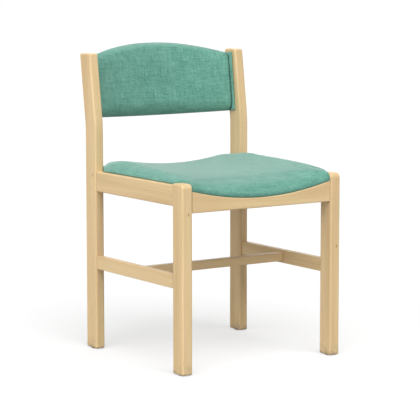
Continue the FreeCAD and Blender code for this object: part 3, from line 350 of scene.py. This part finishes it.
def back_form(name, inset, layers):
    """A closed form of the back: its outline drawn in towards a middle point in rings, behind, then in front.

    The layers give the rear's and the front's distance in from the back's rear curve at each point.
    """
    width = np.linspace(-1, 1, 130)
    ends = np.linspace(0, 1, 48)[1:-1]
    whole, none = np.ones_like(width), np.zeros_like(width)
    side = np.ones_like(ends)
    outline = np.concatenate([np.stack([width, whole], axis=1), np.stack([side, 1 - ends], axis=1),
                              np.stack([-width, none], axis=1), np.stack([-side, ends], axis=1)])
    shares = 1 - np.concatenate([np.linspace(0, 1, 16) ** 2 * 0.15, np.linspace(0.17, 0.98, 36)])
    middle = np.array([0.0, 0.5])
    behind = []
    before = []
    for share in shares:
        place, level = (middle + (outline - middle) * share).T
        across = place * (BACK_HALF - inset)
        low, high = BACK_BOTTOM + inset, back_top(across) - inset
        up = low + (high - low) * level
        rear, front = layers(across, high - up, up - low, BACK_HALF - inset - np.abs(across))
        behind.append(leaned(across, back_curve(across, rear), up))
        before.append(leaned(across, back_curve(across, front), up))
    return closed_rings(name, np.array(behind[::-1] + before[1:]))


def pad_layers(across, above, below, end):
    """The padded front: a low crown, fuller ends, a tight roll at the top and a deep one at the bottom."""
    crown = BACK_CROWN * (1 - (across / BACK_HALF) ** 2) + PAD_END_RISE * (across / BACK_HALF) ** 8
    ends = PAD_END_SHARE + (1 - PAD_END_SHARE) * rounded(end, PAD_END_ROLL)
    roll = rounded(above, PAD_TOP_ROLL) * rounded(below, PAD_BOTTOM_ROLL) * ends
    rear_roll = rounded(above, 5) * rounded(below, 1) * rounded(end, 4)
    return PAD_SEAM + (COVER_DEPTH - PAD_SEAM) * rear_roll, PAD_SEAM + (BACK_DEPTH + crown - PAD_SEAM) * roll


def cover_layers(across, above, below, end):
    """The rear cover over its wadding: flat in front, with rolled edges behind."""
    roll = rounded(above, COVER_ROLL) * rounded(below, COVER_ROLL) * rounded(end, COVER_ROLL)
    fullness = COVER_FULLNESS * (1 - (across / BACK_HALF) ** 2)
    front = np.full_like(across, COVER_DEPTH - 0.2)
    return front - 0.5 - (front - 0.5 + fullness) * roll, front


def back_held(points):
    """The rear, the lower edge and the ends, which are fixed to the panel and the cleats."""
    across, depth, height = points.T
    local = (depth - POST_FRONT) * math.cos(RAKE) - (height - PIVOT_HEIGHT) * math.sin(RAKE)
    up = (depth - POST_FRONT) * math.sin(RAKE) + (height - PIVOT_HEIGHT) * math.cos(RAKE)
    behind = local > back_curve(across, 9.0)
    return behind | (np.abs(across) > BACK_HALF - HELD_RIM) | (up < BACK_BOTTOM + 3)


def back_strip(name, side):
    """A covered strip in the corner between the pad and the post: two half ellipses carried up the post."""
    up = np.linspace(BACK_BOTTOM - 1, BACK_END + 1, 90)[:, None]
    angle = np.linspace(0, 2 * math.pi, 36, endpoint=False)[None, :]
    share = (up - up.min()) / (up.max() - up.min())
    reach = np.where(np.cos(angle) > 0, STRIP_FRONT_LOW + STRIP_FRONT_RISE * share, STRIP_REAR)
    taper = np.minimum(rounded(up - up.min(), STRIP_END_ROLL), rounded(up.max() - up, STRIP_END_ROLL))
    across = side * (POST_INNER - STRIP_FROM_POST - STRIP_HALF * np.sin(angle) * taper)
    return closed_rings(name, leaned(across, STRIP_PLACE - reach * np.cos(angle) * taper, up + 0 * angle))


# Finishes

FLOAT = "NodeSocketFloat"
VECTOR = "NodeSocketVector"
COLOUR = "NodeSocketColor"
PALE_BEECH = (0.79, 0.61, 0.343, 1)
TAN_BEECH = (0.66, 0.47, 0.242, 1)
WARM_BEECH = (0.79, 0.56, 0.335, 1)
STREAK_BROWN = (0.58, 0.395, 0.19, 1)
FLECK_BROWN = (0.40, 0.25, 0.12, 1)
# The colour the feet darken to towards the floor
FOOT_DARK_BROWN = (0.31, 0.24, 0.15, 1)
KNOT_BROWN = (0.30, 0.16, 0.06, 1)
# Painted shade in the joints where rails and stretchers meet posts and legs
JOINT_SHADE_BROWN = (0.25, 0.15, 0.07, 1)
LIGHT_TEAL = (0.245, 0.515, 0.42, 1)
DARK_TEAL = (0.03, 0.175, 0.125, 1)
# Painted shade on the seat's cloth along its lower rim
RIM_SHADE_TEAL = (0.02, 0.09, 0.068, 1)
# Painted shade on the back's cloth in the crevices at its ends
FOLD_SHADE_TEAL = (0.008, 0.045, 0.034, 1)
YARN_PITCH = 1.7
JOINT_SHADE_WIDTH = 2.5
RIM_SHADE = 14
FOLD_WIDTH = 6
FOLD_INSET = 6.3


def new_group(name, inputs, outputs):
    group = bpy.data.node_groups.new(name, "ShaderNodeTree")
    for label, kind in inputs:
        group.interface.new_socket(label, in_out="INPUT", socket_type=kind)
    for label, kind in outputs:
        group.interface.new_socket(label, in_out="OUTPUT", socket_type=kind)
    return group, group.nodes.new("NodeGroupInput").outputs, group.nodes.new("NodeGroupOutput").inputs


def node(tree, kind, values=None, links=None, **settings):
    """Adds a node: settings are its properties, values its plain inputs and links its linked inputs."""
    made = tree.nodes.new(kind)
    for name, value in settings.items():
        setattr(made, name, value)
    for name, value in (values or {}).items():
        made.inputs[name].default_value = value
    for name, output in (links or {}).items():
        tree.links.new(output, made.inputs[name])
    return made


def feed(tree, socket, value):
    """Sets a socket to a plain value, or links it to another node's output."""
    if isinstance(value, (int, float, tuple)):
        socket.default_value = value
    else:
        tree.links.new(value, socket)


def calc(tree, operation, *values):
    made = tree.nodes.new("ShaderNodeMath")
    made.operation = operation
    for socket, value in zip(made.inputs, values):
        feed(tree, socket, value)
    return made.outputs[0]


def mix_colour(tree, factor, first, second):
    made = tree.nodes.new("ShaderNodeMix")
    made.data_type = "RGBA"
    for index, value in ((0, factor), (6, first), (7, second)):
        feed(tree, made.inputs[index], value)
    return made.outputs[2]


def mix_value(tree, factor, first, second):
    made = tree.nodes.new("ShaderNodeMix")
    for index, value in ((0, factor), (2, first), (3, second)):
        feed(tree, made.inputs[index], value)
    return made.outputs[0]


def spread(tree, value, low, high, top=1.0):
    """Stretches the part of a value between low and high to 0 and top."""
    return node(tree, "ShaderNodeMapRange", {"From Min": low, "From Max": high, "To Max": top},
                {"Value": value}).outputs[0]


def noise(tree, place, scale, detail=2.0, roughness=0.5, distortion=0.0):
    """Noise whose grain is drawn out by a scale for each axis."""
    moved = node(tree, "ShaderNodeVectorMath", {1: scale}, {0: place}, operation="MULTIPLY")
    values = {"Scale": 1.0, "Detail": detail, "Roughness": roughness, "Distortion": distortion}
    return node(tree, "ShaderNodeTexNoise", values, {"Vector": moved.outputs[0]}).outputs["Fac"]


def beech_group():
    """Beech with its grain along Z: soft bands, fine streaks, short flecks, and feet that darken towards the
    floor.
    """
    group, given, result = new_group("beech grain", [("Vector", VECTOR), ("Place", VECTOR), ("Tone", FLOAT)],
                                     [("Color", COLOUR), ("Roughness", FLOAT), ("Height", FLOAT)])
    place = given["Vector"]
    bands = spread(group, noise(group, place, (38, 38, 1.6), 3.0, 0.55, 0.4), 0.32, 0.70)
    streaks = spread(group, noise(group, place, (420, 420, 7.0), 3.0, 0.6), 0.30, 0.72)
    flecks = spread(group, noise(group, place, (900, 900, 150.0), 1.0), 0.66, 0.74)
    warmth = spread(group, noise(group, place, (24, 24, 4.0), 2.0), 0.38, 0.66, 0.4)
    wood = mix_colour(group, bands, PALE_BEECH, TAN_BEECH)
    wood = mix_colour(group, calc(group, "MULTIPLY", streaks, 0.45), wood, STREAK_BROWN)
    wood = mix_colour(group, warmth, wood, WARM_BEECH)
    wood = mix_colour(group, calc(group, "MULTIPLY", flecks, 0.32), wood, FLECK_BROWN)
    height = node(group, "ShaderNodeSeparateXYZ", None, {0: given["Place"]}).outputs[2]
    # The feet darken towards the floor: in patches within 35 mm of it, and evenly at part strength within the
    # lowest 10 mm
    foot = calc(group, "SUBTRACT", 1.0, spread(group, height, 0.004, 0.035))
    foot_patches = spread(group, noise(group, given["Place"], (60, 60, 60), 4.0, 0.65), 0.42, 0.62, 0.55)
    sole = calc(group, "SUBTRACT", 1.0, spread(group, height, 0.003, 0.010))
    foot_darkening = calc(group, "MULTIPLY_ADD", sole, 0.4, calc(group, "MULTIPLY", foot, foot_patches))
    wood = mix_colour(group, foot_darkening, wood, FOOT_DARK_BROWN)
    lighter = calc(group, "ADD", given["Tone"], 1.0)
    shade = node(group, "ShaderNodeHueSaturation", None, {"Color": wood, "Value": lighter})
    group.links.new(shade.outputs[0], result["Color"])
    group.links.new(calc(group, "MULTIPLY_ADD", streaks, 0.10, 0.44), result["Roughness"])
    relief = calc(group, "SUBTRACT", calc(group, "MULTIPLY", streaks, 0.5), flecks)
    group.links.new(relief, result["Height"])
    return group


def knot_group():
    """A small round knot: 1 at its centre, fading to 0, a little longer along the grain."""
    group, given, result = new_group("pin knot", [("Place", VECTOR), ("Centre", VECTOR)], [("Mask", FLOAT)])
    kind = "ShaderNodeVectorMath"
    away = node(group, kind, None, {0: given["Place"], 1: given["Centre"]}, operation="SUBTRACT").outputs[0]
    drawn = node(group, kind, {1: (1, 1, 0.55)}, {0: away}, operation="MULTIPLY").outputs[0]
    far = node(group, kind, None, {0: drawn}, operation="LENGTH").outputs["Value"]
    mask = calc(group, "SUBTRACT", 1.0, spread(group, far, 0.0008, 0.0032))
    group.links.new(mask, result["Mask"])
    return group


def shade_band_group():
    """A band of painted shade where a rail meets a post, in a fold of cloth or at a cloth's lower rim: 1 at
    either end of a run, fading to 0 within a width.
    """
    inputs = [(name, FLOAT) for name in ("Value", "Low", "High", "Width")]
    group, given, result = new_group("joint line", inputs, [("Mask", FLOAT)])
    start = calc(group, "SUBTRACT", given["Value"], given["Low"])
    finish = calc(group, "SUBTRACT", given["High"], given["Value"])
    share = calc(group, "DIVIDE", calc(group, "MINIMUM", start, finish), given["Width"])
    group.links.new(calc(group, "SUBTRACT", 1.0, spread(group, share, 0.0, 1.0)), result["Mask"])
    return group


def weave_group():
    """A plain weave of slubbed yarns: yarn heights, and a mottle that is drawn out along both yarns."""
    group, given, result = new_group("slub weave", [("Vector", VECTOR), ("Light", COLOUR), ("Dark", COLOUR)],
                                     [("Color", COLOUR), ("Height", FLOAT)])
    place = given["Vector"]
    parts = node(group, "ShaderNodeSeparateXYZ", None, {0: place}).outputs
    counts = []
    heights = []
    for axis in (0, 1):
        count = calc(group, "DIVIDE", parts[axis], YARN_PITCH * MM)
        centred = calc(group, "MULTIPLY_ADD", calc(group, "FRACT", count), 2.0, -1.0)
        counts.append(calc(group, "FLOOR", count))
        heights.append(calc(group, "SUBTRACT", 1.0, calc(group, "MULTIPLY", centred, centred)))
    over = calc(group, "FLOORED_MODULO", calc(group, "ADD", *counts), 2.0)
    relief = mix_value(group, over, *heights)
    slubs = mix_value(group, over, noise(group, place, (590, 45, 200), 2.0, 0.6),
                      noise(group, place, (45, 590, 200), 2.0, 0.6))
    drawn = calc(group, "ADD", noise(group, place, (260, 28, 90), 2.0),
                 noise(group, place, (28, 260, 90), 2.0))
    specks = noise(group, place, (290, 290, 290), 2.0, 0.6)
    cloud = noise(group, place, (30, 30, 30), 2.0)
    tone = calc(group, "MULTIPLY", spread(group, slubs, 0.28, 0.72), 0.36)
    tone = calc(group, "MULTIPLY_ADD", spread(group, drawn, 0.74, 1.26), 0.24, tone)
    tone = calc(group, "MULTIPLY_ADD", spread(group, specks, 0.32, 0.68), 0.28, tone)
    tone = calc(group, "MULTIPLY_ADD", spread(group, cloud, 0.3, 0.7), 0.12, tone)
    # Painted shade of the weave: yarn crowns lighter and the yarn edges between them darker, from the yarn
    # heights
    tone = calc(group, "MULTIPLY_ADD", relief, 0.22, calc(group, "SUBTRACT", tone, 0.15))
    group.links.new(mix_colour(group, tone, given["Dark"], given["Light"]), result["Color"])
    group.links.new(relief, result["Height"])
    return group


def mottle_group():
    """Fine even mottle for plain finishes."""
    inputs = [("Vector", VECTOR), ("Scale", FLOAT)]
    group, given, result = new_group("fine mottle", inputs, [("Value", FLOAT)])
    grain = node(group, "ShaderNodeTexNoise", {"Detail": 4.0, "Roughness": 0.65},
                 {"Vector": given["Vector"], "Scale": given["Scale"]})
    group.links.new(spread(group, grain.outputs["Fac"], 0.3, 0.7), result["Value"])
    return group


BEECH = beech_group()
KNOT = knot_group()
SHADE_BAND = shade_band_group()
WEAVE = weave_group()
MOTTLE = mottle_group()
GRAIN_TURNS = {"x": (0, math.pi / 2, 0), "y": (math.pi / 2, 0, 0), "z": (0, 0, 0)}
KNOTS = {"left_front_leg": (0.2306, -0.2644, 0.2864), "right_front_leg": (-0.2244, -0.2644, 0.4005),
         "right_rear_post": (-0.2420, 0.1608, 0.4600)}


def material(name):
    made = bpy.data.materials.new(name)
    made.use_nodes = True
    tree = made.node_tree
    return made, tree, tree.nodes["Principled BSDF"]


def set_inputs(shader, **values):
    for name, value in values.items():
        shader.inputs[name.replace("_", " ")].default_value = value


def placed(tree, turn=(0, 0, 0), shift=(0, 0, 0)):
    """Object coordinates, turned and shifted."""
    local = node(tree, "ShaderNodeTexCoord").outputs["Object"]
    values = {"Location": shift, "Rotation": turn}
    return node(tree, "ShaderNodeMapping", values, {"Vector": local}).outputs[0]


def grouped(tree, group, **values):
    """Places a node group with its inputs set or linked."""
    made = node(tree, "ShaderNodeGroup", node_tree=group)
    for name, value in values.items():
        feed(tree, made.inputs[name], value)
    return made.outputs


def bump(tree, shader, height, strength, distance):
    relief = node(tree, "ShaderNodeBump", {"Strength": strength, "Distance": distance}, {"Height": height})
    tree.links.new(relief.outputs[0], shader.inputs["Normal"])


def beech(name, along, shift, tone, lacquer):
    """Clear-lacquered or plain beech, its grain along one axis and its figure shifted for each board."""
    made, tree, shader = material(f"beech {name.replace('_', ' ')}")
    place = placed(tree)
    grain = grouped(tree, BEECH, Vector=placed(tree, GRAIN_TURNS[along], shift), Place=place, Tone=tone)
    colour = grain["Color"]
    if name in KNOTS:
        knot = grouped(tree, KNOT, Place=place, Centre=KNOTS[name])["Mask"]
        colour = mix_colour(tree, calc(tree, "MULTIPLY", knot, 0.75), colour, KNOT_BROWN)
    if along != "z":
        axis = "xyz".index(along)
        low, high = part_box(name)
        run = node(tree, "ShaderNodeSeparateXYZ", None, {0: place}).outputs[axis]
        # Painted shade: a dark band at both ends of every board whose grain is not upright, where it meets
        # the next part
        line = grouped(tree, SHADE_BAND, Value=run, Low=low[axis], High=high[axis], Width=JOINT_SHADE_WIDTH * MM)["Mask"]
        colour = mix_colour(tree, calc(tree, "MULTIPLY", line, 0.6), colour, JOINT_SHADE_BROWN)
    tree.links.new(colour, shader.inputs["Base Color"])
    tree.links.new(grain["Roughness"], shader.inputs["Roughness"])
    bump(tree, shader, grain["Height"], 0.08, 0.4 * MM)
    set_inputs(shader, Specular_IOR_Level=0.25)
    if lacquer:
        set_inputs(shader, Coat_Weight=0.06, Coat_Roughness=0.35)
    return made


def woven(name, turn=(0, 0, 0), half=None, rim=None):
    """The teal upholstery cloth: a slubbed plain weave with a soft fuzz.

    Shade is painted into its colour: dark in the folds at the two ends of a piece, and darker towards a
    dished lower rim.
    """
    made, tree, shader = material(name)
    weave = grouped(tree, WEAVE, Vector=placed(tree, turn), Light=LIGHT_TEAL, Dark=DARK_TEAL)
    colour = weave["Color"]
    across, _, height = node(tree, "ShaderNodeSeparateXYZ", None, {0: placed(tree)}).outputs
    # Painted shade: the seat's cloth darkens within the rim width above its dished lower rim, where the lip
    # rolls down onto the rails
    if rim:
        curve = calc(tree, "DIVIDE", calc(tree, "MULTIPLY", across, across), 2 * DISH_RADIUS * MM)
        level = calc(tree, "SUBTRACT", height, curve)
        shade = grouped(tree, SHADE_BAND, Value=level, Low=rim * MM, High=1.0, Width=RIM_SHADE * MM)["Mask"]
        colour = mix_colour(tree, calc(tree, "MULTIPLY", shade, 0.6), colour, RIM_SHADE_TEAL)
    # Painted shade: the back's cloth darkens towards each end, in the crevice beside the covered strips
    if half:
        fold = grouped(tree, SHADE_BAND, Value=across, Low=-half * MM, High=half * MM,
                       Width=FOLD_WIDTH * MM)["Mask"]
        colour = mix_colour(tree, fold, colour, FOLD_SHADE_TEAL)
    tree.links.new(colour, shader.inputs["Base Color"])
    bump(tree, shader, weave["Height"], 0.4, 0.5 * MM)
    set_inputs(shader, Roughness=0.9, Specular_IOR_Level=0.2, Sheen_Weight=0.75, Sheen_Roughness=0.4)
    shader.inputs["Sheen Tint"].default_value = (0.85, 1.0, 0.96, 1)
    return made


def mottled(name, light, dark, scale, roughness, metallic=0.0, relief=0.05):
    """A plain finish with a fine mottle in its colour, gloss and surface."""
    made, tree, shader = material(name)
    value = grouped(tree, MOTTLE, Vector=placed(tree), Scale=float(scale))["Value"]
    tree.links.new(mix_colour(tree, value, (*dark, 1), (*light, 1)), shader.inputs["Base Color"])
    tree.links.new(calc(tree, "MULTIPLY_ADD", value, 0.15, roughness), shader.inputs["Roughness"])
    bump(tree, shader, value, relief, 0.3 * MM)
    set_inputs(shader, Metallic=metallic)
    return made


def dress(piece, finish):
    piece.data.materials.clear()
    piece.data.materials.append(finish)


def dress_wood():
    """Every wooden piece gets beech with its grain along its length."""
    along = {"front_leg": "z", "rear_post": "z", "back_cleat": "z",
             "side_rail": "y", "side_stretcher": "y", "seat_board": "y",
             "front_seat_rail": "x", "rear_seat_rail": "x", "cross_stretcher": "x",
             "block": "x", "back_panel": "x", "dowels": "x"}
    plain = ("block", "back_cleat", "seat_board", "back_panel", "dowels")
    # Painted shade: slightly darker beech for the leg, post and stretcher that stand most in the seat's
    # shadow
    shade_tones = {"left_front_leg": -0.02, "left_rear_post": -0.03, "cross_stretcher": -0.04}
    for index, name in enumerate(sorted(NODES)):
        kind = next((ending for ending in along if name.endswith(ending)), None)
        if kind is None:
            continue
        shift = (0.37 * index, 0.23 * index, 0.71 * index)
        dress(NODES[name], beech(name, along[kind], shift, shade_tones.get(name, 0.0), kind not in plain))


def dress_small():
    """Screws and foot glides."""
    zinc = mottled("zinc plated steel", (0.66, 0.66, 0.66), (0.52, 0.53, 0.55), 900, 0.28, 1.0)
    nylon = mottled("brown nylon", (0.22, 0.17, 0.12), (0.15, 0.11, 0.08), 500, 0.45)
    for name, piece in NODES.items():
        if name.endswith("_screws"):
            dress(piece, zinc)
        if name.endswith("_glide"):
            dress(piece, nylon)


# Upholstery in place

def upholster():
    upright = (math.pi / 2 + RAKE, 0, 0)
    seat = seat_cushion()
    back = back_form("back_cushion", 0.0, pad_layers)
    swell(seat, seat_held, SWELL_CAP)
    swell(back, back_held, SWELL_CAP)
    cover = back_form("back_rear_cloth", COVER_INSET, cover_layers)
    right, left = back_strip("right_strip_cloth", -1), back_strip("left_strip_cloth", 1)
    dress(seat, woven("teal cloth on the seat", rim=LIP_BASE))
    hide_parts("seat_cover", "seat_foam")
    dress(back, woven("teal cloth on the back", upright, BACK_HALF - FOLD_INSET))
    for piece in (cover, right, left):
        dress(piece, woven(f"teal cloth on the {piece.name.replace('_', ' ')}", upright))
    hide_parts("back_front_cover", "back_foam")
    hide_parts("back_rear_cover")
    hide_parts("right_back_strip")
    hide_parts("left_back_strip")
    for piece in (seat, back, cover, right, left):
        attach(piece, "root")
    cloth = dust_cloth()
    black = mottled("black dust cloth", (0.035, 0.035, 0.036), (0.012, 0.012, 0.013), 700, 0.8, relief=0.3)
    dress(cloth, black)
    thick = cloth.modifiers.new("thickness", "SOLIDIFY")
    thick.thickness = 0.5 * MM
    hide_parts("seat_dust_cover")
    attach(cloth, "root")


# Floor, light and camera

def seen_directly(tree):
    """1 for rays that show the background itself: camera, glossy and transmission rays."""
    rays = node(tree, "ShaderNodeLightPath").outputs
    seen = calc(tree, "MAXIMUM", rays["Is Camera Ray"], rays["Is Glossy Ray"])
    return calc(tree, "MAXIMUM", seen, rays["Is Transmission Ray"])


def shine(name, towards, energy):
    """A broad, far lamp in a direction from the chair."""
    lamp = bpy.data.lights.new(name, "SUN")
    lamp.energy = energy
    lamp.angle = math.radians(60)
    sun = bpy.data.objects.new(name, lamp)
    SCENE.collection.objects.link(sun)
    sun.rotation_mode = "QUATERNION"
    sun.rotation_quaternion = Vector(towards).to_track_quat("Z", "Y")


def studio():
    """A white floor, an even white sky and three broad lamps: left, high in front, and a weak one behind."""
    bpy.ops.mesh.primitive_plane_add(size=60)
    floor = bpy.context.object
    floor.name = "floor"
    paper, tree, shader = material("white floor")
    set_inputs(shader, Base_Color=(0.42, 0.42, 0.42, 1), Roughness=0.95, Specular_IOR_Level=0.0)
    set_inputs(shader, Emission_Color=(1, 1, 1, 1))
    tree.links.new(calc(tree, "MULTIPLY", seen_directly(tree), 0.57), shader.inputs["Emission Strength"])
    dress(floor, paper)
    world = SCENE.world or bpy.data.worlds.new("studio")
    SCENE.world = world
    world.use_nodes = True
    tree = world.node_tree
    sky = tree.nodes["Background"]
    sky.inputs["Color"].default_value = (1, 1, 1, 1)
    sky_light = 0.18
    strength = calc(tree, "MULTIPLY_ADD", seen_directly(tree), 1 - sky_light, sky_light)
    tree.links.new(strength, sky.inputs["Strength"])
    shine("left lamp", (-0.97, -0.12, 0.20), 1.8)
    shine("front lamp", (-0.20, -0.58, 0.79), 2.95)
    shine("rear lamp", (0.62, 0.70, 0.35), 0.75)


def photograph():
    """The camera: its eye, the point that it looks at and its lens."""
    data = bpy.data.cameras.new("camera")
    data.sensor_width = 36
    data.lens = 167.91
    camera = bpy.data.objects.new("camera", data)
    SCENE.collection.objects.link(camera)
    eye = Vector((-2.8282, -4.1995, 1.0264))
    aim = Vector((-0.00503, -0.03382, 0.3719))
    camera.location = eye
    camera.rotation_mode = "QUATERNION"
    camera.rotation_quaternion = (aim - eye).to_track_quat("-Z", "Y")
    SCENE.camera = camera


dress_wood()
dress_small()
upholster()
studio()
photograph()
